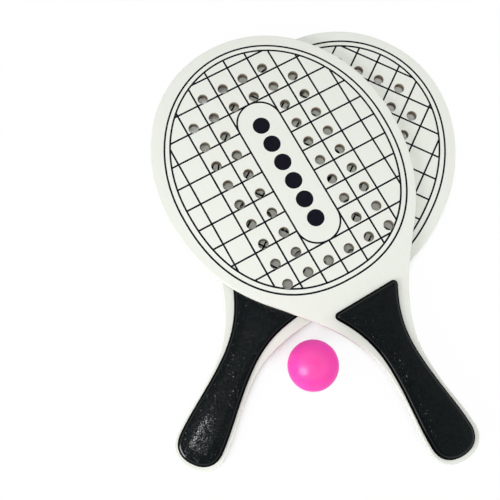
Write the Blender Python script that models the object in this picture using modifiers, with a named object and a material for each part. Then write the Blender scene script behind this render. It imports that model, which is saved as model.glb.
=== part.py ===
"""Beach paddle ball set: two drilled wooden paddles with padded handles, and one ball.

The set lies as it comes to rest. The lower paddle stands on its back pad and the tip of its
head, the upper one leans across it, and the ball lies between the two handles.
Metres, +Z up. Each paddle is built in a frame of its own: the origin is the middle of its head
on the back face, +Y runs to the tip of the head and +Z out of the front face.
"""
import math

import bmesh
import bpy
from mathutils import Matrix, Vector

MM = 0.001

# Driving dimensions
BOARD_THICKNESS = 6.0 * MM
BOARD_EDGE_ROUND = 0.8 * MM
PAD_THICKNESS = 4.0 * MM
PAD_EDGE_ROUND = 2.5 * MM
BALL_RADIUS = 19.5 * MM
GAP = 0.3 * MM                      # clearance that touching pieces keep

# The board's outline, from the tip of the head to the end of the handle
TIP_Y = 119.0 * MM
HEAD_HALF_WIDTH = 100.8 * MM
HEAD_WIDEST_Y = 5.6 * MM
FLARE_X, FLARE_Y = 56.5 * MM, -102.6 * MM
FLARE_LEAN = math.radians(36.6)     # from the handle's axis, where head runs into neck
WAIST_HALF_WIDTH = 16.2 * MM
WAIST_Y = -185.7 * MM
BULB_HALF_WIDTH = 20.4 * MM
BULB_Y = -246.3 * MM
HANDLE_END_Y = -262.5 * MM

# The pad's outline, inside the board's
PAD_TOP_Y = -121.2 * MM
PAD_TOP_HALF_WIDTH = 28.1 * MM
PAD_CORNER_RADIUS = 3.5 * MM
PAD_WAIST_HALF_WIDTH = 12.85 * MM
PAD_WAIST_Y = -178.0 * MM
PAD_BULB_HALF_WIDTH = 17.6 * MM
PAD_BULB_Y = -243.0 * MM
PAD_END_Y = -259.1 * MM
FRONT_PAD_SHIFT = -0.5 * MM          # the front pads sit a little to the left

# The drilled pattern: for each row from the handle to the tip, its columns right of the axis
HOLE_RADIUS = 4.0 * MM
HOLE_PITCH_ACROSS = 18.7 * MM
HOLE_PITCH_ALONG = 18.4 * MM
BOTTOM_ROW = (0.5, 1.5, 2.5)
SIDE_ROW = (1.5, 2.5)
SHOULDER_ROW = (0.5, 1.5, 2.5)
TOP_ROW = (0.5, 1.5)
HOLE_ROWS = [BOTTOM_ROW] + 7 * [SIDE_ROW] + [SHOULDER_ROW, TOP_ROW]
HOLE_SIDES = 16
DRILL_SHIFT = {"lower_paddle": 1.6 * MM, "upper_paddle": 0.0}      # towards the tip

# Where the pieces lie: the paddles' origins and turns from above, and the ball's centre
LOWER_PLACE = (43.8 * MM, 174.2 * MM)
LOWER_TURN = math.radians(-24.0)
UPPER_PLACE = (6.8 * MM, 167.1 * MM)
UPPER_TURN = math.radians(30.7)
BALL_PLACE = (28.3 * MM, 10.3 * MM)

# What the upper paddle's back face leans on, in the lower paddle's frame: a corner of its front
# pad, and the upper rim, which touches the lower front face along the line through two points
LEAN_ON_PAD = Vector((24.2 * MM, -123.7 * MM, BOARD_THICKNESS + PAD_THICKNESS))
LEAN_ON_FACE = (Vector((-46.0 * MM, 87.3 * MM, BOARD_THICKNESS)),
                Vector((-34.0 * MM, 86.4 * MM, BOARD_THICKNESS)))

OUTLINE_RESOLUTION = 14
PAD_RESOLUTION = 7
PAD_ROUND_SEGMENTS = 3
BALL_SEGMENTS, BALL_RINGS = 28, 16
WELD = 0.01 * MM

COLOURS = {
    "painted_wood": ((0.86, 0.85, 0.79), 0.45),
    "black_grip": ((0.012, 0.013, 0.014), 0.42),
    "pink_ball": ((1.0, 0.075, 0.43), 0.4),
}


def clear_scene():
    """Start from an empty scene."""
    for item in list(bpy.data.objects):
        bpy.data.objects.remove(item, do_unlink=True)


def new_collection(name):
    collection = bpy.data.collections.new(name)
    bpy.context.scene.collection.children.link(collection)
    return collection


def make_material(name):
    """A plain Principled material of the piece's colour."""
    (red, green, blue), roughness = COLOURS[name]
    material = bpy.data.materials.new(name)
    material.use_nodes = True
    shader = material.node_tree.nodes["Principled BSDF"]
    shader.inputs["Base Color"].default_value = (red, green, blue, 1.0)
    shader.inputs["Roughness"].default_value = roughness
    shader.inputs["Metallic"].default_value = 0.0
    material.diffuse_color = (red, green, blue, 1.0)
    return material


def board_knots():
    """The right half of the board's outline: point, handle before it, handle after it."""
    lean = Vector((math.sin(FLARE_LEAN), math.cos(FLARE_LEAN)))
    flare = Vector((FLARE_X, FLARE_Y))
    return [
        ((0, TIP_Y), (-60.9 * MM, TIP_Y), (60.9 * MM, TIP_Y)),
        ((HEAD_HALF_WIDTH, HEAD_WIDEST_Y),
         (HEAD_HALF_WIDTH, HEAD_WIDEST_Y + 57.9 * MM),
         (HEAD_HALF_WIDTH, HEAD_WIDEST_Y - 67.1 * MM)),
        (flare, flare + 15.6 * MM * lean, flare - 12.0 * MM * lean),
        ((WAIST_HALF_WIDTH, WAIST_Y),
         (WAIST_HALF_WIDTH, WAIST_Y + 39.3 * MM),
         (WAIST_HALF_WIDTH, WAIST_Y - 38.1 * MM)),
        ((BULB_HALF_WIDTH, BULB_Y),
         (BULB_HALF_WIDTH, BULB_Y + 29.2 * MM),
         (BULB_HALF_WIDTH, BULB_Y - 5.0 * MM)),
        ((0, HANDLE_END_Y), (16.1 * MM, HANDLE_END_Y), (-16.1 * MM, HANDLE_END_Y)),
    ]


def pad_knots():
    """The right half of the pad's outline, from its straight top edge to its round end."""
    corner = Vector((PAD_TOP_HALF_WIDTH - PAD_CORNER_RADIUS, PAD_TOP_Y - PAD_CORNER_RADIUS))
    side_lean = math.radians(30.0)
    along_side = Vector((-math.sin(side_lean), -math.cos(side_lean)))
    arc_end = corner + PAD_CORNER_RADIUS * Vector((math.cos(side_lean), -math.sin(side_lean)))
    arc_handle = 4.0 / 3.0 * math.tan(math.radians(120.0) / 4.0) * PAD_CORNER_RADIUS
    arc_start = Vector((corner.x, PAD_TOP_Y))
    return [
        (arc_start, arc_start - Vector((8.0 * MM, 0)), arc_start + Vector((arc_handle, 0))),
        (arc_end, arc_end - arc_handle * along_side, arc_end + 15.0 * MM * along_side),
        ((PAD_WAIST_HALF_WIDTH, PAD_WAIST_Y),
         (PAD_WAIST_HALF_WIDTH, PAD_WAIST_Y + 24.0 * MM),
         (PAD_WAIST_HALF_WIDTH, PAD_WAIST_Y - 24.0 * MM)),
        ((PAD_BULB_HALF_WIDTH, PAD_BULB_Y),
         (PAD_BULB_HALF_WIDTH, PAD_BULB_Y + 19.0 * MM),
         (PAD_BULB_HALF_WIDTH, PAD_BULB_Y - 10.0 * MM)),
        ((0, PAD_END_Y), (11.0 * MM, PAD_END_Y), (-11.0 * MM, PAD_END_Y)),
    ]


def mirrored(knots):
    """Close a right half outline with its mirror image, going back up the left side."""
    def flip(point):
        return (-point[0], point[1])

    off_axis = [knot for knot in knots if abs(knot[0][0]) > WELD]
    left = [(flip(point), flip(after), flip(before)) for point, before, after in reversed(off_axis)]
    return list(knots) + left


def plate_mesh(name, knots, thickness, resolution):
    """A flat plate of an outline, its back face at z = 0, as a mesh with two whole caps."""
    curve = bpy.data.curves.new(name, "CURVE")
    curve.dimensions = "2D"
    curve.fill_mode = "BOTH"
    curve.extrude = thickness / 2
    curve.resolution_u = resolution
    spline = curve.splines.new("BEZIER")
    spline.use_cyclic_u = True
    closed = mirrored(knots)
    spline.bezier_points.add(len(closed) - 1)
    for target, (point, before, after) in zip(spline.bezier_points, closed):
        target.handle_left_type = target.handle_right_type = "FREE"
        target.co = (point[0], point[1], 0)
        target.handle_left = (before[0], before[1], 0)
        target.handle_right = (after[0], after[1], 0)
    guide = bpy.data.objects.new(name, curve)
    bpy.context.scene.collection.objects.link(guide)
    depsgraph = bpy.context.evaluated_depsgraph_get()
    mesh = bpy.data.meshes.new_from_object(guide.evaluated_get(depsgraph))
    bpy.data.objects.remove(guide, do_unlink=True)
    mesh.name = name
    form = bmesh.new()
    form.from_mesh(mesh)
    bmesh.ops.remove_doubles(form, verts=form.verts, dist=WELD)
    flat_angle = math.radians(0.5)
    bmesh.ops.dissolve_limit(form, angle_limit=flat_angle, verts=form.verts, edges=form.edges)
    bmesh.ops.recalc_face_normals(form, faces=form.faces)
    form.to_mesh(mesh)
    form.free()
    mesh.transform(Matrix.Translation((0, 0, thickness / 2)))
    return mesh


def drill_mesh():
    """One cylinder for each hole of the drilled pattern, longer than the board is thick."""
    form = bmesh.new()
    middle_row = (len(HOLE_ROWS) - 1) / 2
    for row, columns in enumerate(HOLE_ROWS):
        y = (row - middle_row) * HOLE_PITCH_ALONG
        for column in columns:
            for side in (-1, 1):
                place = Vector((side * column * HOLE_PITCH_ACROSS, y, BOARD_THICKNESS / 2))
                bmesh.ops.create_cone(form, cap_ends=True, segments=HOLE_SIDES,
                                      radius1=HOLE_RADIUS, radius2=HOLE_RADIUS,
                                      depth=2 * BOARD_THICKNESS, matrix=Matrix.Translation(place))
    mesh = bpy.data.meshes.new("drill_pattern")
    form.to_mesh(mesh)
    form.free()
    return mesh


def mark_rim(mesh, height):
    """Give a bevel weight to the edges of the cap that lies at one height."""
    form = bmesh.new()
    form.from_mesh(mesh)
    weight = form.edges.layers.float.new("bevel_weight_edge")
    for edge in form.edges:
        if all(abs(vertex.co.z - height) < WELD for vertex in edge.verts):
            edge[weight] = 1.0
    form.to_mesh(mesh)
    form.free()


def add_bevel(item, width, segments, limit):
    bevel = item.modifiers.new("round_edges", "BEVEL")
    bevel.width = width
    bevel.segments = segments
    bevel.limit_method = limit
    bevel.angle_limit = math.radians(60.0)


def place_piece(name, mesh, material, collection, parent=None, matrix=None):
    """An object of a mesh, shaded smooth up to its sharp edges, in its parent's frame."""
    if material and not mesh.materials:
        mesh.materials.append(material)
    mesh.shade_smooth()
    mesh.set_sharp_from_angle(angle=math.radians(35.0))
    item = bpy.data.objects.new(name, mesh)
    collection.objects.link(item)
    item.parent = parent
    item.matrix_local = matrix or Matrix.Identity(4)
    return item


def lower_frame():
    """The lower paddle's frame: it stands on the tip and on the upper end of its back pad."""
    lean = math.atan2(PAD_THICKNESS, TIP_Y - PAD_TOP_Y + PAD_EDGE_ROUND)
    turned = Matrix.Rotation(LOWER_TURN, 4, "Z") @ Matrix.Rotation(-lean, 4, "X")
    tip = turned @ Vector((0, TIP_Y, 0))
    return Matrix.Translation((*LOWER_PLACE, -tip.z)) @ turned


def upper_frame(lower):
    """The upper paddle's frame: its back face passes GAP above three points of the lower one."""
    corner = lower @ LEAN_ON_PAD
    first, second = (lower @ point for point in LEAN_ON_FACE)
    normal = (first - corner).cross(second - corner).normalized()
    if normal.z < 0:
        normal.negate()
    x, y = UPPER_PLACE
    height = corner.z - (normal.x * (x - corner.x) + normal.y * (y - corner.y)) / normal.z
    heading = Vector((-math.sin(UPPER_TURN), math.cos(UPPER_TURN), 0))
    along = (heading - normal * heading.dot(normal)).normalized()
    across = along.cross(normal)
    axes = Matrix((across, along, normal)).transposed().to_4x4()
    return Matrix.Translation((x, y, height + GAP)) @ axes


def make_frame(name, matrix, parent):
    """An empty that carries one paddle."""
    frame = bpy.data.objects.new(name, None)
    bpy.context.scene.collection.objects.link(frame)
    frame.empty_display_size = 0.05
    frame.parent = parent
    frame.matrix_local = matrix
    return frame


def make_paddle(name, frame, meshes, materials, parts, cutters):
    """One paddle: its drilled board, and a pad on each face of its handle."""
    drilled = Matrix.Translation((0, DRILL_SHIFT[name], 0))
    drill = place_piece(name + "_drill", meshes["drill"], None, cutters, frame, drilled)
    drill.hide_render = True
    drill.display_type = "WIRE"
    board = place_piece(name + "_board", meshes["board"], materials["painted_wood"], parts, frame)
    add_bevel(board, BOARD_EDGE_ROUND, 1, "ANGLE")
    cut = board.modifiers.new("drilled_holes", "BOOLEAN")
    cut.operation = "DIFFERENCE"
    cut.solver = "EXACT"
    cut.object = drill
    on_front = Matrix.Translation((FRONT_PAD_SHIFT, 0, BOARD_THICKNESS + GAP))
    on_back = Matrix.Translation((0, 0, -GAP)) @ Matrix.Rotation(math.pi, 4, "Y")
    for side, matrix in (("front", on_front), ("back", on_back)):
        pad = place_piece(f"{name}_{side}_grip", meshes["pad"], materials["black_grip"],
                          parts, frame, matrix)
        add_bevel(pad, PAD_EDGE_ROUND, PAD_ROUND_SEGMENTS, "WEIGHT")


def make_ball(material, parts, parent):
    """The ball, a sphere that touches the ground plane."""
    form = bmesh.new()
    bmesh.ops.create_uvsphere(form, u_segments=BALL_SEGMENTS, v_segments=BALL_RINGS,
                              radius=BALL_RADIUS)
    mesh = bpy.data.meshes.new("ball")
    form.to_mesh(mesh)
    form.free()
    ball = place_piece("ball", mesh, material, parts, parent,
                       Matrix.Translation((*BALL_PLACE, BALL_RADIUS)))
    return ball


def centre_on_origin(carrier, parts):
    """Move the set's carrier so that the middle of its footprint is the origin."""
    bpy.context.view_layer.update()
    depsgraph = bpy.context.evaluated_depsgraph_get()
    points = []
    for item in parts.objects:
        shaped = item.evaluated_get(depsgraph)
        points += [shaped.matrix_world @ vertex.co for vertex in shaped.data.vertices]
    for axis in (0, 1):
        values = [point[axis] for point in points]
        carrier.location[axis] -= (min(values) + max(values)) / 2
    carrier.location.z -= min(point.z for point in points)


def main():
    clear_scene()
    parts = new_collection("beach_paddle_ball_set")
    cutters = new_collection("cutters")
    materials = {name: make_material(name) for name in COLOURS}
    meshes = {
        "board": plate_mesh("board", board_knots(), BOARD_THICKNESS, OUTLINE_RESOLUTION),
        "pad": plate_mesh("pad", pad_knots(), PAD_THICKNESS - GAP, PAD_RESOLUTION),
        "drill": drill_mesh(),
    }
    mark_rim(meshes["pad"], PAD_THICKNESS - GAP)
    carrier = make_frame("set", Matrix.Identity(4), None)
    lower = lower_frame()
    for name, matrix in (("lower_paddle", lower), ("upper_paddle", upper_frame(lower))):
        frame = make_frame(name, matrix, carrier)
        make_paddle(name, frame, meshes, materials, parts, cutters)
    make_ball(materials["pink_ball"], parts, carrier)
    centre_on_origin(carrier, parts)


main()
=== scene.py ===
import math

import bmesh
import bpy
import numpy as np
from mathutils import Matrix, Vector
from mathutils.geometry import delaunay_2d_cdt, interpolate_bezier


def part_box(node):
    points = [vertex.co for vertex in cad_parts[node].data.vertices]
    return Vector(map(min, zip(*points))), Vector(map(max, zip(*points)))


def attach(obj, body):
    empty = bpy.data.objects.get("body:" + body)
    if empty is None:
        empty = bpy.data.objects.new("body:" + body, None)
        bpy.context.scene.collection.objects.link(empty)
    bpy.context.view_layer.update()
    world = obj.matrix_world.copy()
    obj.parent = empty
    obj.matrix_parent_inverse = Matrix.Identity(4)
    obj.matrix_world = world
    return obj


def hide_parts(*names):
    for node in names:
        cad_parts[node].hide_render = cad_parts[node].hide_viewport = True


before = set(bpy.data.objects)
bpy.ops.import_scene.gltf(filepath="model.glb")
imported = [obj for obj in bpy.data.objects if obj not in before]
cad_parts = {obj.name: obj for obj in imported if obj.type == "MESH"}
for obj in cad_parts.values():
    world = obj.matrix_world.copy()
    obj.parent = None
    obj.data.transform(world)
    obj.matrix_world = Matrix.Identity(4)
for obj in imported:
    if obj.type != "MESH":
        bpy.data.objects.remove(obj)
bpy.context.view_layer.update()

# Looks of the beach paddle ball set. Each paddle is dressed in a frame of its own, read from its
# CAD board: the origin is the middle of the head on the back face, +X runs across, +Y to the tip
# of the head and +Z out of the front face. Metres.
MM = 0.001
BODY = "root"
OWN_PLACE = "own_place"
SAME_POINT = 1e-7
CUT_PRECISION = 1e-8

# The board. A pull is the length of a curve's handle at a point of an outline, and a pair of
# pulls is first the one towards the tip and then the one towards the end.
BOARD_THICKNESS = 6.0 * MM
BOARD_EDGE_ROUND = 1.0 * MM
BOARD_EDGE_STEPS = 5
TIP_Y = 119.0 * MM
TIP_PULL = 60.9 * MM
HEAD_HALF_WIDTH = 100.8 * MM
HEAD_WIDEST_Y = 5.6 * MM
HEAD_PULLS = (57.9 * MM, 67.1 * MM)
FLARE_X, FLARE_Y = 56.5 * MM, -102.6 * MM
FLARE_LEAN = math.radians(36.6)
FLARE_PULLS = (15.6 * MM, 12.0 * MM)
WAIST_HALF_WIDTH = 16.2 * MM
WAIST_Y = -185.7 * MM
WAIST_PULLS = (39.3 * MM, 38.1 * MM)
BULB_HALF_WIDTH = 20.4 * MM
BULB_Y = -246.3 * MM
BULB_PULLS = (29.2 * MM, 5.0 * MM)
HANDLE_END_Y = -262.5 * MM
HANDLE_END_PULL = 16.1 * MM
OUTLINE_STEPS = 40
PAINTED, BARE = 0, 1

# The drilled pattern: for each row from the handle to the tip, its columns right of the axis
HOLE_RADIUS = 4.0 * MM
HOLE_EDGE_BREAK = 0.25 * MM
HOLE_EDGE_STEPS = 2
HOLE_PITCH_ACROSS = 18.7 * MM
HOLE_PITCH_ALONG = 18.4 * MM
HOLE_ROWS = [(0.5, 1.5, 2.5)] + 7 * [(1.5, 2.5)] + [(0.5, 1.5, 2.5), (0.5, 1.5)]
HOLE_SIDES = 48
DRILL_SHIFT = {"lower": 1.6 * MM, "upper": 0.0}

# The grips
PAD_THICKNESS = 4.0 * MM
PAD_ROUND_WIDTH = 3.4 * MM
PAD_CROWN = 0.35 * MM
PAD_CROWN_REACH = 11.0 * MM
PAD_TOP_Y = -121.2 * MM
PAD_TOP_HALF_WIDTH = 28.1 * MM
PAD_CORNER_RADIUS = 3.5 * MM
PAD_SIDE_LEAN = math.radians(30.0)
PAD_SIDE_PULL = 15.0 * MM
PAD_WAIST_HALF_WIDTH = 12.85 * MM
PAD_WAIST_Y = -178.0 * MM
PAD_WAIST_PULLS = (24.0 * MM, 24.0 * MM)
PAD_BULB_HALF_WIDTH = 17.6 * MM
PAD_BULB_Y = -243.0 * MM
PAD_BULB_PULLS = (19.0 * MM, 10.0 * MM)
PAD_END_Y = -259.1 * MM
PAD_END_PULL = 11.0 * MM
FRONT_PAD_SHIFT = -0.5 * MM
PAD_STEPS = 24
PAD_EDGE_STEPS = 200
PAD_ROUND_STEPS = 10
PAD_GRID = 2.2 * MM

# The print, in squares of its own grid
SQUARE = 18.5 * MM
# Each board's print: place across, place along, turn
PRINT_PLACE = {"lower": (0.29 * MM, 6.09 * MM, math.radians(-1.02)),
               "upper": (0.96 * MM, 4.62 * MM, math.radians(-1.32))}
INK_WIDTH = 1.45 * MM
INK_PROUD = 0.05 * MM
LONG_LINES = range(-4, 5)
CROSS_LINES = range(-5, 6)
LINE_REACH = 6.5 * SQUARE
# Rings: half width, centre along, then height and power of the upper half and of the lower half
INNER_RING = (86.3 * MM, -2.0 * MM, (102.0 * MM, 2.04), (102.0 * MM, 2.29))
OUTER_RING = (91.4 * MM, -1.8 * MM, (106.4 * MM, 2.0), (106.7 * MM, 2.27))
RING_STEPS = 240
FIELD_TOP, FIELD_BOTTOM = 3, -4
FIELD_ARC_STEPS = 32
DOT_COUNT = 6
DOT_RADIUS = 7.0 * MM
DOT_PITCH = 17.6 * MM
DOT_SIDES = 64

# The ball
BALL_SEAM_HEIGHT = 0.09 * MM
BALL_SEAM_WIDTH = 0.45 * MM
BALL_LEVELS = 6

# The colours, in pairs where a pattern runs from one to the other
PAINT_TINTS = ((0.795, 0.815, 0.750), (0.810, 0.830, 0.772))
PLY_LIGHT, PLY_DARK = (0.36, 0.31, 0.24), (0.18, 0.148, 0.112)
INK_TINTS = ((0.003, 0.003, 0.008), (0.007, 0.006, 0.014))
# The grip's rim is coloured darker than its top: painted shade on the rounded rim
GRIP_RIM_SHADE_TINT = (0.0008, 0.0010, 0.0012)
GRIP_TOP_TINT = (0.0014, 0.0036, 0.0042)
BALL_TINTS = ((0.985, 0.070, 0.44), (0.99, 0.082, 0.47))
FLOOR_TINT = (0.93, 0.93, 0.93)

# The patterns of the surfaces: size, and depth too where it can be felt
PAINT_GRAIN = (3.0 * MM, 0.008 * MM)
PAINT_PEEL = (0.9 * MM, 0.010 * MM)
PAINT_PATCH = 14 * MM
WOOD_FIBRE = (0.5 * MM, 0.06 * MM)
INK_PATCH = 3.0 * MM
GRIP_LEATHER = (1.3 * MM, 0.05 * MM)
GRIP_SPECKLE = (1.2 * MM, 0.024 * MM)
GRIP_PATCH = 9 * MM
BALL_SKIN = (0.5 * MM, 0.01 * MM)
BALL_PATCH = 12 * MM
BALL_GLOW_REACH = 28 * MM

# The camera, as the photograph was taken
CAMERA_PLACE = (-37.0 * MM, -105.76 * MM, 517.56 * MM)
CAMERA_TURN = tuple(math.radians(angle) for angle in (9.929, -1.682, -0.058))
CAMERA_SENSOR = 36.0
CAMERA_LENS = 46.9
CAMERA_SHIFT = (-0.061, 0.015)
CAMERA_NEAREST = 10 * MM

# The lamps: place, size, share of a full, plain level of light, and whether gloss mirrors it
LAMPS = {
    "key_left": ((-0.56, -0.40, 0.42), (0.36, 0.36), 0.26, True),
    "top_small": ((-0.190, -0.22, 1.0), (0.03, 0.10), 0.024, True),
    "top_sheen": ((-0.12, -0.12, 1.0), (0.22, 0.40), 0.014, True),
    "top_soft": ((-0.15, -0.12, 1.10), (0.45, 0.45), 0.24, False),
    "low_right": ((0.80, 0.10, 0.26), (0.40, 0.30), 0.09, False),
}

# The sky: its level, its brightness by height (0 level, 1 straight up), and the white background
SKY_STRENGTH = 0.665
SKY_BANDS = [(0.0, 0.78), (0.80, 1.0), (0.885, 0.26), (1.0, 0.12)]
BACKGROUND_BANDS = [(0.30, 1.0), (0.50, 0.0)]

# The floor, whose white gives way to its shade where little of the sky is open to it
FLOOR_RADIUS = 4.0
FLOOR_SIDES = 96
FLOOR_DROP = 0.1 * MM
FLOOR_SHADE_REACH = 20.0 * MM
FLOOR_WHITE_BANDS = [(0.28, 0.0), (0.68, 0.97)]


def clean_loop(points):
    """Drop points of a closed loop that repeat the one before, and run it anticlockwise."""
    points = np.array(points, float)
    step = np.linalg.norm(points - np.roll(points, 1, axis=0), axis=1)
    points = points[step > SAME_POINT]
    x, y = points.T
    area = np.sum(x * np.roll(y, -1) - y * np.roll(x, -1))
    return points if area > 0 else points[::-1]


def bezier_loop(knots, steps):
    """The closed loop of a right half outline and its mirror image."""
    half = []
    for (start, _, after), (end, before, _) in zip(knots, knots[1:]):
        control = [Vector((*point, 0)) for point in (start, after, before, end)]
        half += [(point.x, point.y) for point in interpolate_bezier(*control, steps)]
    return clean_loop(half + [(-x, y) for x, y in reversed(half)])


def upright_knot(half_width, y, pulls):
    """A point where a right half outline runs along the paddle, with its two handles."""
    up, down = pulls
    return (half_width, y), (half_width, y + up), (half_width, y - down)


def level_knot(y, pull):
    """A point on the paddle's axis where an outline runs across it, with its two handles."""
    return (0, y), (-pull, y), (pull, y)


def board_knots():
    """The right half of the board's outline: point, handle before it, handle after it."""
    lean = Vector((math.sin(FLARE_LEAN), math.cos(FLARE_LEAN)))
    flare = Vector((FLARE_X, FLARE_Y))
    up, down = FLARE_PULLS
    return [
        level_knot(TIP_Y, TIP_PULL),
        upright_knot(HEAD_HALF_WIDTH, HEAD_WIDEST_Y, HEAD_PULLS),
        (flare, flare + up * lean, flare - down * lean),
        upright_knot(WAIST_HALF_WIDTH, WAIST_Y, WAIST_PULLS),
        upright_knot(BULB_HALF_WIDTH, BULB_Y, BULB_PULLS),
        level_knot(HANDLE_END_Y, -HANDLE_END_PULL),
    ]


def pad_knots():
    """The right half of the grip's outline, from its straight top edge to its round end."""
    corner = Vector((PAD_TOP_HALF_WIDTH - PAD_CORNER_RADIUS, PAD_TOP_Y - PAD_CORNER_RADIUS))
    along_side = Vector((-math.sin(PAD_SIDE_LEAN), -math.cos(PAD_SIDE_LEAN)))
    out_of_side = Vector((math.cos(PAD_SIDE_LEAN), -math.sin(PAD_SIDE_LEAN)))
    arc_start = Vector((corner.x, PAD_TOP_Y))
    arc_end = corner + PAD_CORNER_RADIUS * out_of_side
    arc_angle = math.pi / 2 + PAD_SIDE_LEAN
    arc_pull = 4.0 / 3.0 * math.tan(arc_angle / 4.0) * PAD_CORNER_RADIUS
    middle = Vector((0, PAD_TOP_Y))
    third = (arc_start - middle) / 3
    return [
        (middle, middle, middle + third),
        (arc_start, arc_start - third, arc_start + Vector((arc_pull, 0))),
        (arc_end, arc_end - arc_pull * along_side, arc_end + PAD_SIDE_PULL * along_side),
        upright_knot(PAD_WAIST_HALF_WIDTH, PAD_WAIST_Y, PAD_WAIST_PULLS),
        upright_knot(PAD_BULB_HALF_WIDTH, PAD_BULB_Y, PAD_BULB_PULLS),
        level_knot(PAD_END_Y, -PAD_END_PULL),
    ]


def circle(x, y, radius, sides):
    """The points of a circle, anticlockwise."""
    turns = np.arange(sides) * (2 * math.pi / sides)
    return np.c_[x + radius * np.cos(turns), y + radius * np.sin(turns)]


def hole_centres(side):
    """The middles of the drilled holes of the lower or the upper board."""
    middle_row = (len(HOLE_ROWS) - 1) / 2
    return [(way * column * HOLE_PITCH_ACROSS,
             (row - middle_row) * HOLE_PITCH_ALONG + DRILL_SHIFT[side])
            for row, columns in enumerate(HOLE_ROWS) for column in columns for way in (-1, 1)]


def offset_loop(points, distance):
    """A closed anticlockwise loop moved out by a distance."""
    ahead = np.roll(points, -1, axis=0) - np.roll(points, 1, axis=0)
    out = np.c_[ahead[:, 1], -ahead[:, 0]]
    return points + distance * out / np.linalg.norm(out, axis=1, keepdims=True)


def split_plane(loops, loose=()):
    """Triangles of the plane cut by closed loops, each with the set of loops that it lies in."""
    points, faces = [], []
    for loop in loops:
        faces.append(list(range(len(points), len(points) + len(loop))))
        points += [Vector(point) for point in loop]
    points += [Vector(point) for point in loose]
    made = delaunay_2d_cdt(points, [], faces, 0, CUT_PRECISION, True)
    places, triangles, origins, inside = made[0], made[2], made[3], made[5]
    return places, triangles, origins, [set(group) for group in inside]


def mesh_object(name, form, materials):
    """A mesh object of a bmesh, which is freed. Its points keep their place in the piece's frame."""
    mesh = bpy.data.meshes.new(name)
    form.to_mesh(mesh)
    form.free()
    own = mesh.attributes.new(OWN_PLACE, "FLOAT_VECTOR", "POINT")
    places = np.empty(3 * len(mesh.vertices), np.float32)
    mesh.vertices.foreach_get("co", places)
    own.data.foreach_set("vector", places)
    for material in materials:
        mesh.materials.append(material)
    item = bpy.data.objects.new(name, mesh)
    bpy.context.scene.collection.objects.link(item)
    return item


def ring_of(form, points, z):
    """New vertices of a bmesh, at one height."""
    return [form.verts.new((x, y, z)) for x, y in points]


def bridge(form, upper, lower, material=0, inward=False):
    """A strip of quads between two rings of a wall, facing out of its loop or into it."""
    for index in range(len(upper)):
        after = (index + 1) % len(upper)
        corners = [upper[index], lower[index], lower[after], upper[after]]
        face = form.faces.new(corners[::-1] if inward else corners)
        face.smooth = True
        face.material_index = material


def rounded_wall(form, loop, radius, steps, material, inward=False):
    """A plate's wall with both edges rounded. Returns its top loop, top ring and bottom ring."""
    sign = 1 if inward else -1
    levels = []
    for step in range(steps + 1):
        turn = math.pi / 2 * step / steps
        moved = offset_loop(loop, sign * radius * (1 - math.sin(turn)))
        levels.append((moved, BOARD_THICKNESS - radius * (1 - math.cos(turn))))
    levels += [(moved, BOARD_THICKNESS - z) for moved, z in reversed(levels)]
    rings = [ring_of(form, moved, z) for moved, z in levels]
    for upper, lower in zip(rings, rings[1:]):
        bridge(form, upper, lower, material, inward)
    return levels[0][0], rings[0], rings[-1]


def make_board(name, side, paint, bare_wood):
    """The drilled board: flat painted faces, a rounded rim and bare wood in the holes."""
    form = bmesh.new()
    outline = bezier_loop(board_knots(), OUTLINE_STEPS)
    walls = [rounded_wall(form, outline, BOARD_EDGE_ROUND, BOARD_EDGE_STEPS, PAINTED)]
    for x, y in hole_centres(side):
        hole = circle(x, y, HOLE_RADIUS, HOLE_SIDES)
        walls.append(rounded_wall(form, hole, HOLE_EDGE_BREAK, HOLE_EDGE_STEPS, BARE, inward=True))
    top = [vertex for _, ring, _ in walls for vertex in ring]
    bottom = [vertex for _, _, ring in walls for vertex in ring]
    _, triangles, origins, inside = split_plane([loop for loop, _, _ in walls])
    for corners, loops in zip(triangles, inside):
        if loops == {0}:
            picked = [origins[corner][0] for corner in corners]
            form.faces.new([top[index] for index in picked])
            form.faces.new([bottom[index] for index in reversed(picked)])
    return mesh_object(name, form, [paint, bare_wood])


def pad_height(distance):
    """Height of the grip's skin at a distance from its edge."""
    shoulder = PAD_THICKNESS - PAD_CROWN
    if distance < PAD_ROUND_WIDTH:
        return shoulder * math.sqrt(1 - (1 - distance / PAD_ROUND_WIDTH) ** 2)
    rise = min(1.0, (distance - PAD_ROUND_WIDTH) / (PAD_CROWN_REACH - PAD_ROUND_WIDTH))
    return shoulder + PAD_CROWN * math.sin(math.pi / 2 * rise)


def triangle_grid(loop, spacing):
    """The points of a grid of equal-sided triangles over a loop's box."""
    low, high = loop.min(axis=0), loop.max(axis=0)
    return [(x + (row % 2) * spacing / 2, y)
            for row, y in enumerate(np.arange(low[1], high[1], spacing * math.sqrt(0.75)))
            for x in np.arange(low[0], high[0], spacing)]


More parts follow.
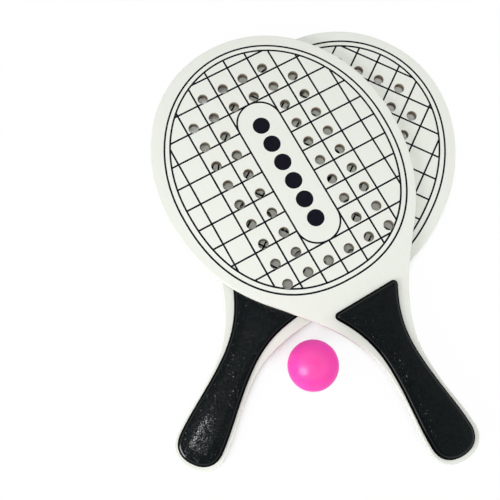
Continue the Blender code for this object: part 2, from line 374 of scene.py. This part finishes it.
def make_pad(name, material):
    """A grip: a moulded sheet with a rounded rim and a slightly crowned top."""
    loop = bezier_loop(pad_knots(), PAD_STEPS)
    form = bmesh.new()
    rings = [ring_of(form, loop, 0)]
    for step in range(1, PAD_ROUND_STEPS + 1):
        distance = PAD_ROUND_WIDTH * (1 - math.cos(math.pi / 2 * step / PAD_ROUND_STEPS))
        rings.append(ring_of(form, offset_loop(loop, -distance), pad_height(distance)))
    for lower, upper in zip(rings, rings[1:]):
        bridge(form, upper, lower)
    form.faces.new(list(reversed(rings[0])))
    # The top is a fine sheet inside the last ring, raised by its distance from the pad's edge
    inner = offset_loop(loop, -PAD_ROUND_WIDTH)
    edge = bezier_loop(pad_knots(), PAD_EDGE_STEPS)
    places, triangles, origins, inside = split_plane([inner], triangle_grid(loop, PAD_GRID))
    made = {index: rings[-1][origin[0]] for index, origin in enumerate(origins)
            if origin and origin[0] < len(inner)}
    for corners, loops in zip(triangles, inside):
        if not loops:
            continue
        for index in corners:
            if index not in made:
                x, y = places[index]
                distance = np.min(np.hypot(edge[:, 0] - x, edge[:, 1] - y))
                made[index] = form.verts.new((x, y, pad_height(distance)))
        form.faces.new([made[index] for index in corners]).smooth = True
    return mesh_object(name, form, [material])


def ring_loop(shape, grow):
    """One closed edge of a printed ring, grown from its middle line."""
    half_width, centre, upper, lower = shape
    loop = []
    for turn in np.arange(RING_STEPS) * (2 * math.pi / RING_STEPS):
        height, power = upper if math.sin(turn) >= 0 else lower
        across, along = math.cos(turn), math.sin(turn)
        loop.append((math.copysign(abs(across) ** (2 / power), across) * (half_width + grow),
                     centre + math.copysign(abs(along) ** (2 / power), along) * (height + grow)))
    return clean_loop(loop)


def field_loop(grow):
    """One closed edge of the plain field: two straight sides and two round ends."""
    radius = SQUARE + grow
    loop = []
    for end, start_turn in ((FIELD_TOP - 1, 0.0), (FIELD_BOTTOM + 1, math.pi)):
        for turn in np.linspace(start_turn, start_turn + math.pi, FIELD_ARC_STEPS):
            loop.append((radius * math.cos(turn), end * SQUARE + radius * math.sin(turn)))
    return clean_loop(loop)


def strip(x0, x1, y0, y1):
    """The four corners of a straight printed line."""
    return clean_loop([(x0, y0), (x1, y0), (x1, y1), (x0, y1)])


def to_board(points, side):
    """Points of a print's frame in its board's frame."""
    across, along, turn = PRINT_PLACE[side]
    cosine, sine = math.cos(turn), math.sin(turn)
    x, y = np.array(points).T
    return np.c_[across + cosine * x - sine * y, along + sine * x + cosine * y]


def print_shapes():
    """Every closed edge of the print, by what it is the edge of."""
    half = INK_WIDTH / 2
    middle = (FIELD_TOP + FIELD_BOTTOM) / 2 * SQUARE
    dots = [(step - (DOT_COUNT - 1) / 2) * DOT_PITCH + middle for step in range(DOT_COUNT)]
    return {
        "outer": [ring_loop(OUTER_RING, half)],
        "outer_open": [ring_loop(OUTER_RING, -half)],
        "inner": [ring_loop(INNER_RING, half)],
        "inner_open": [ring_loop(INNER_RING, -half)],
        "field": [field_loop(half)],
        "field_open": [field_loop(-half)],
        "long_line": [strip(i * SQUARE - half, i * SQUARE + half, -LINE_REACH, LINE_REACH)
                      for i in LONG_LINES],
        "cross_line": [strip(-LINE_REACH, LINE_REACH, j * SQUARE - half, j * SQUARE + half)
                       for j in CROSS_LINES],
        "dot": [circle(0, y, DOT_RADIUS, DOT_SIDES) for y in dots],
    }


def is_inked(kinds):
    """Whether a spot inside these closed edges is printed."""
    if "hole" in kinds:
        return False
    ringed = ("outer" in kinds and "outer_open" not in kinds
              or "inner" in kinds and "inner_open" not in kinds)
    lined = ("inner" in kinds and "field_open" not in kinds
             and not kinds.isdisjoint({"long_line", "cross_line", "field"}))
    return ringed or lined or "dot" in kinds


def make_print(name, side, material):
    """The printed rings, grid, field and dots, as one thin layer with the holes left out."""
    loops = [(kind, to_board(loop, side)) for kind, group in print_shapes().items() for loop in group]
    loops += [("hole", circle(x, y, HOLE_RADIUS + HOLE_EDGE_BREAK, HOLE_SIDES))
              for x, y in hole_centres(side)]
    places, triangles, _, inside = split_plane([loop for _, loop in loops])
    form = bmesh.new()
    made = {}
    for corners, numbers in zip(triangles, inside):
        if not is_inked({loops[number][0] for number in numbers}):
            continue
        for index in corners:
            if index not in made:
                made[index] = form.verts.new((*places[index], BOARD_THICKNESS - INK_PROUD))
        form.faces.new([made[index] for index in corners])
    raised = bmesh.ops.extrude_face_region(form, geom=list(form.faces), use_keep_orig=True)["geom"]
    bmesh.ops.translate(form, vec=(0, 0, 2 * INK_PROUD),
                        verts=[part for part in raised if isinstance(part, bmesh.types.BMVert)])
    bmesh.ops.recalc_face_normals(form, faces=form.faces)
    return mesh_object(name, form, [material])


def make_ball(name, radius, material):
    """The ball: a fine round skin with the low seam of its two-part mould."""
    form = bmesh.new()
    bmesh.ops.create_cube(form, size=2.0)
    bmesh.ops.subdivide_edges(form, edges=form.edges, cuts=2 ** BALL_LEVELS - 1,
                              use_grid_fill=True)
    for vertex in form.verts:
        direction = vertex.co.normalized()
        seam = math.exp(-(direction.z * radius / BALL_SEAM_WIDTH) ** 2)
        vertex.co = direction * (radius + BALL_SEAM_HEIGHT * seam)
    for face in form.faces:
        face.smooth = True
    return mesh_object(name, form, [material])


def new_material(name, colour, roughness):
    """A Principled material of one mean colour. Returns it with its node tree and its shader."""
    material = bpy.data.materials.new(name)
    material.use_nodes = True
    shader = material.node_tree.nodes["Principled BSDF"]
    shader.inputs["Base Color"].default_value = (*colour, 1.0)
    shader.inputs["Roughness"].default_value = roughness
    return material, material.node_tree, shader


def own_place(tree):
    """The place of a point in the frame of its own piece."""
    node = tree.nodes.new("ShaderNodeAttribute")
    node.attribute_name = OWN_PLACE
    return node.outputs["Vector"]


def math_node(tree, operation, first, second):
    """The result of an operation on a factor and on another factor or a number."""
    node = tree.nodes.new("ShaderNodeMath")
    node.operation = operation
    tree.links.new(first, node.inputs[0])
    if isinstance(second, float):
        node.inputs[1].default_value = second
    else:
        tree.links.new(second, node.inputs[1])
    return node.outputs["Value"]


def height_share(tree, thickness):
    """How high a point lies in its piece: 0 on its lower face, 1 on its upper face."""
    split = tree.nodes.new("ShaderNodeSeparateXYZ")
    tree.links.new(own_place(tree), split.inputs["Vector"])
    return math_node(tree, "DIVIDE", split.outputs["Z"], thickness)


def noise(tree, size, stretch=(1, 1, 1), detail=4.0):
    """The factor of a noise in the piece's own frame. size is its pattern's, in metres."""
    mapping = tree.nodes.new("ShaderNodeMapping")
    mapping.inputs["Scale"].default_value = [1 / (size * way) for way in stretch]
    texture = tree.nodes.new("ShaderNodeTexNoise")
    texture.inputs["Scale"].default_value = 1.0
    texture.inputs["Detail"].default_value = detail
    tree.links.new(own_place(tree), mapping.inputs["Vector"])
    tree.links.new(mapping.outputs["Vector"], texture.inputs["Vector"])
    return texture.outputs["Fac"]


def leather_cells(tree, size):
    """The factor of a leather grain: flat pebbles, 1, with narrow valleys between them, 0."""
    cells = tree.nodes.new("ShaderNodeTexVoronoi")
    cells.feature = "DISTANCE_TO_EDGE"
    cells.inputs["Scale"].default_value = 1 / size
    tree.links.new(own_place(tree), cells.inputs["Vector"])
    return ramp(tree, cells.outputs["Distance"], [(0.0, 0.0), (0.16, 1.0)])


def ramp(tree, factor, stops):
    """A colour ramp on a factor. A stop is a place and a grey or a colour."""
    node = tree.nodes.new("ShaderNodeValToRGB")
    elements = node.color_ramp.elements
    while len(elements) < len(stops):
        elements.new(1.0)
    for element, (place, value) in zip(elements, stops):
        element.position = place
        colour = (value,) * 3 if isinstance(value, float) else value
        element.color = (*colour, 1.0)
    tree.links.new(factor, node.inputs["Fac"])
    return node.outputs["Color"]


def vary(tree, shader, socket, factor, stops):
    """Let a factor set one of the shader's values, through a colour ramp."""
    tree.links.new(ramp(tree, factor, stops), shader.inputs[socket])


def bump(tree, shader, heights):
    """Bump from several factors, each with its depth in metres."""
    normal = None
    for height, depth in heights:
        node = tree.nodes.new("ShaderNodeBump")
        node.inputs["Strength"].default_value = 1.0
        node.inputs["Distance"].default_value = depth
        tree.links.new(height, node.inputs["Height"])
        if normal:
            tree.links.new(normal, node.inputs["Normal"])
        normal = node.outputs["Normal"]
    tree.links.new(normal, shader.inputs["Normal"])


def mix_shaders(tree, share, first, second):
    """A mix of two shaders, where share is the second one's."""
    node = tree.nodes.new("ShaderNodeMixShader")
    tree.links.new(share, node.inputs["Fac"])
    tree.links.new(first, node.inputs[1])
    tree.links.new(second, node.inputs[2])
    return node.outputs["Shader"]


def paint_material():
    """Off-white paint on plywood: the grain just tells through it."""
    material, tree, shader = new_material("board_paint", (0.80, 0.82, 0.76), 0.45)
    shader.inputs["Specular IOR Level"].default_value = 0.22
    grain_size, grain_depth = PAINT_GRAIN
    grain = noise(tree, grain_size, stretch=(1, 7, 1), detail=5.0)
    darker, lighter = PAINT_TINTS
    vary(tree, shader, "Base Color", grain, [(0.30, darker), (0.70, lighter)])
    patch = noise(tree, PAINT_PATCH, detail=3.0)
    vary(tree, shader, "Roughness", patch, [(0.3, 0.40), (0.7, 0.52)])
    peel_size, peel_depth = PAINT_PEEL
    bump(tree, shader, [(grain, grain_depth), (noise(tree, peel_size), peel_depth)])
    return material


def hole_material():
    """Bare plywood, whose plies show in the walls of the holes."""
    material, tree, shader = new_material("hole_plywood", (0.42, 0.30, 0.18), 0.75)
    plies = ramp(tree, height_share(tree, BOARD_THICKNESS),
                 [(0.0, PLY_LIGHT), (0.32, PLY_LIGHT), (0.35, PLY_DARK),
                  (0.65, PLY_DARK), (0.68, PLY_LIGHT)])
    fibre_size, fibre_depth = WOOD_FIBRE
    fibre = noise(tree, fibre_size, stretch=(4, 4, 1))
    mixed = tree.nodes.new("ShaderNodeMix")
    mixed.data_type = "RGBA"
    mixed.blend_type = "MULTIPLY"
    mixed.inputs["Factor"].default_value = 1.0
    tree.links.new(plies, mixed.inputs["A"])
    tree.links.new(ramp(tree, fibre, [(0.3, 0.72), (0.7, 1.0)]), mixed.inputs["B"])
    tree.links.new(mixed.outputs["Result"], shader.inputs["Base Color"])
    bump(tree, shader, [(fibre, fibre_depth)])
    return material


def ink_material():
    """Blue-black screen ink, a little uneven where the screen left it thin."""
    material, tree, shader = new_material("screen_ink", (0.008, 0.007, 0.018), 0.6)
    shader.inputs["Specular IOR Level"].default_value = 0.15
    patch = noise(tree, INK_PATCH)
    thick, thin = INK_TINTS
    vary(tree, shader, "Base Color", patch, [(0.35, thick), (0.75, thin)])
    vary(tree, shader, "Roughness", patch, [(0.3, 0.52), (0.7, 0.68)])
    return material


def grip_material():
    """Black moulded rubber: a leather-grained top inside a smooth, rounded rim, whose darker colour is
    painted shade.
    """
    material, tree, shader = new_material("grip_rubber", (0.003, 0.0034, 0.0036), 0.30)
    height = height_share(tree, PAD_THICKNESS)
    shoulder = (PAD_THICKNESS - PAD_CROWN) / PAD_THICKNESS
    # The rounded rim gets a darker colour than the top: painted shade
    vary(tree, shader, "Base Color", height,
         [(shoulder - 0.20, GRIP_RIM_SHADE_TINT), (shoulder + 0.02, GRIP_TOP_TINT)])
    vary(tree, shader, "Specular IOR Level", height,
         [(shoulder - 0.25, 0.01), (shoulder - 0.14, 0.06), (shoulder - 0.09, 0.60), (shoulder, 0.42)])
    vary(tree, shader, "Roughness", noise(tree, GRIP_PATCH), [(0.3, 0.06), (0.7, 0.10)])
    leather_size, leather_depth = GRIP_LEATHER
    on_top = ramp(tree, height, [(shoulder - 0.02, 0.0), (shoulder + 0.02, 1.0)])
    leather = math_node(tree, "MULTIPLY", leather_cells(tree, leather_size), on_top)
    speckle_size, speckle_depth = GRIP_SPECKLE
    speckle = noise(tree, speckle_size, detail=0.0)
    bump(tree, shader, [(leather, leather_depth), (speckle, speckle_depth)])
    return material


def ball_material():
    """Pink moulded plastic with a soft sheen that fades towards the outline."""
    material, tree, shader = new_material("ball_plastic", (0.99, 0.078, 0.465), 0.33)
    patch = noise(tree, BALL_PATCH, detail=2.0)
    deeper, paler = BALL_TINTS
    vary(tree, shader, "Base Color", patch, [(0.3, deeper), (0.7, paler)])
    vary(tree, shader, "Roughness", patch, [(0.3, 0.30), (0.7, 0.36)])
    facing = tree.nodes.new("ShaderNodeLayerWeight")
    facing.inputs["Blend"].default_value = 0.5
    vary(tree, shader, "Specular IOR Level", facing.outputs["Facing"],
         [(0.0, 1.0), (0.10, 0.75), (0.25, 0.14), (0.50, 0.03)])
    shader.inputs["Subsurface Weight"].default_value = 0.85
    shader.inputs["Subsurface Radius"].default_value = (1.0, 0.06, 0.16)
    shader.inputs["Subsurface Scale"].default_value = BALL_GLOW_REACH
    skin_size, skin_depth = BALL_SKIN
    bump(tree, shader, [(noise(tree, skin_size), skin_depth)])
    return material


def paddle_frame(node):
    """A paddle's own frame, from the directions in which its CAD board is thin, wide and long."""
    points = np.array([vertex.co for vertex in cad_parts[node].data.vertices], float)
    points = np.unique(points.round(6), axis=0)
    centred = points - points.mean(axis=0)
    normal, across, along = np.linalg.eigh(np.cov(centred.T))[1].T
    if normal[2] < 0:
        normal = -normal
    # The head, which is wider than the handle, lies ahead along +Y
    width = np.abs(centred @ across)
    ahead = centred @ along > 0
    if width[ahead].max() < width[~ahead].max():
        along = -along
    across = np.cross(along, normal)
    axes = np.c_[across, along, normal]
    spans = points @ axes
    low, high = spans.min(axis=0), spans.max(axis=0)
    origin = axes @ ((low[0] + high[0]) / 2, high[1] - TIP_Y, low[2])
    return Matrix.Translation(origin) @ Matrix(axes.tolist()).to_4x4()


def dress(piece, matrix, node=None):
    """Put a piece's mesh in place and let it ride on the body, in place of its CAD node."""
    piece.data.transform(matrix)
    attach(piece, BODY)
    if node:
        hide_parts(node)


def dress_paddle(side, looks):
    """One paddle: its board with the print on its front, and a grip on each face."""
    place = paddle_frame(f"{side}_paddle_board")
    board = make_board(f"{side}_painted_board", side, looks["paint"], looks["hole"])
    dress(board, place, f"{side}_paddle_board")
    dress(make_print(f"{side}_front_print", side, looks["ink"]), place)
    on_front = place @ Matrix.Translation((FRONT_PAD_SHIFT, 0, BOARD_THICKNESS))
    on_back = place @ Matrix.Rotation(math.pi, 4, "Y")
    for face, matrix in (("front", on_front), ("back", on_back)):
        pad = make_pad(f"{side}_{face}_soft_grip", looks["grip"])
        dress(pad, matrix, f"{side}_paddle_{face}_grip")


def dress_ball(looks):
    """The ball, at the place and the size of its CAD node."""
    low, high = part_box("ball")
    ball = make_ball("pink_round_ball", (high.z - low.z) / 2, looks["ball"])
    dress(ball, Matrix.Translation((low + high) / 2), "ball")


def add_camera():
    """The camera, at the photograph's viewing angle."""
    data = bpy.data.cameras.new("camera")
    data.sensor_width = CAMERA_SENSOR
    data.lens = CAMERA_LENS
    data.shift_x, data.shift_y = CAMERA_SHIFT
    data.clip_start = CAMERA_NEAREST
    camera = bpy.data.objects.new("camera", data)
    bpy.context.scene.collection.objects.link(camera)
    camera.location = CAMERA_PLACE
    camera.rotation_euler = CAMERA_TURN
    bpy.context.scene.camera = camera


def add_lamp(name, place, size, share, mirrored):
    """A soft rectangular lamp aimed at the set. share is its part of a full, plain level of light."""
    place = Vector(place)
    direction = place.normalized()
    data = bpy.data.lights.new(name, "AREA")
    data.shape = "RECTANGLE"
    data.size, data.size_y = size
    data.energy = share * math.pi ** 2 * place.length_squared / direction.z
    lamp = bpy.data.objects.new(name, data)
    bpy.context.scene.collection.objects.link(lamp)
    lamp.location = place
    lamp.rotation_euler = direction.to_track_quat("Z", "Y").to_euler()
    lamp.visible_glossy = mirrored


def background_ray(tree):
    """1 for the rays that see the background: camera, glossy and transmission rays."""
    path = tree.nodes.new("ShaderNodeLightPath")
    seen = math_node(tree, "MAXIMUM", path.outputs["Is Camera Ray"], path.outputs["Is Glossy Ray"])
    return math_node(tree, "MAXIMUM", seen, path.outputs["Is Transmission Ray"])


def add_world():
    """Even light from all round and little from straight above, with a white background."""
    world = bpy.data.worlds.new("studio")
    world.use_nodes = True
    bpy.context.scene.world = world
    tree = world.node_tree
    direction = tree.nodes.new("ShaderNodeTexCoord")
    split = tree.nodes.new("ShaderNodeSeparateXYZ")
    tree.links.new(direction.outputs["Generated"], split.inputs["Vector"])
    height = split.outputs["Z"]
    sky = tree.nodes["Background"]
    sky.inputs["Strength"].default_value = SKY_STRENGTH
    tree.links.new(ramp(tree, height, SKY_BANDS), sky.inputs["Color"])
    white = tree.nodes.new("ShaderNodeBackground")
    white.inputs["Strength"].default_value = 1.0
    white.inputs["Color"].default_value = (1, 1, 1, 1)
    low_down = ramp(tree, height, BACKGROUND_BANDS)
    share = math_node(tree, "MULTIPLY", background_ray(tree), low_down)
    mixed = mix_shaders(tree, share, sky.outputs["Background"], white.outputs["Background"])
    tree.links.new(mixed, tree.nodes["World Output"].inputs["Surface"])


def add_floor():
    """A floor that is seen as white, and keeps the set's shade where the set covers it."""
    form = bmesh.new()
    bmesh.ops.create_circle(form, cap_ends=True, segments=FLOOR_SIDES, radius=FLOOR_RADIUS)
    material, tree, shader = new_material("floor_white", FLOOR_TINT, 0.9)
    openness = tree.nodes.new("ShaderNodeAmbientOcclusion")
    openness.inputs["Distance"].default_value = FLOOR_SHADE_REACH
    open_floor = ramp(tree, openness.outputs["AO"], FLOOR_WHITE_BANDS)
    share = math_node(tree, "MULTIPLY", background_ray(tree), open_floor)
    white = tree.nodes.new("ShaderNodeEmission")
    mixed = mix_shaders(tree, share, shader.outputs["BSDF"], white.outputs["Emission"])
    tree.links.new(mixed, tree.nodes["Material Output"].inputs["Surface"])
    floor = mesh_object("floor", form, [material])
    floor.location.z = -FLOOR_DROP


def main():
    """Dress the two paddles and the ball, and set up the studio."""
    add_camera()
    looks = {"paint": paint_material(), "hole": hole_material(), "ink": ink_material(),
             "grip": grip_material(), "ball": ball_material()}
    dress_paddle("lower", looks)
    dress_paddle("upper", looks)
    dress_ball(looks)
    add_floor()
    add_world()
    for name, facts in LAMPS.items():
        add_lamp(name, *facts)
    bpy.context.scene.view_settings.view_transform = "Standard"


main()
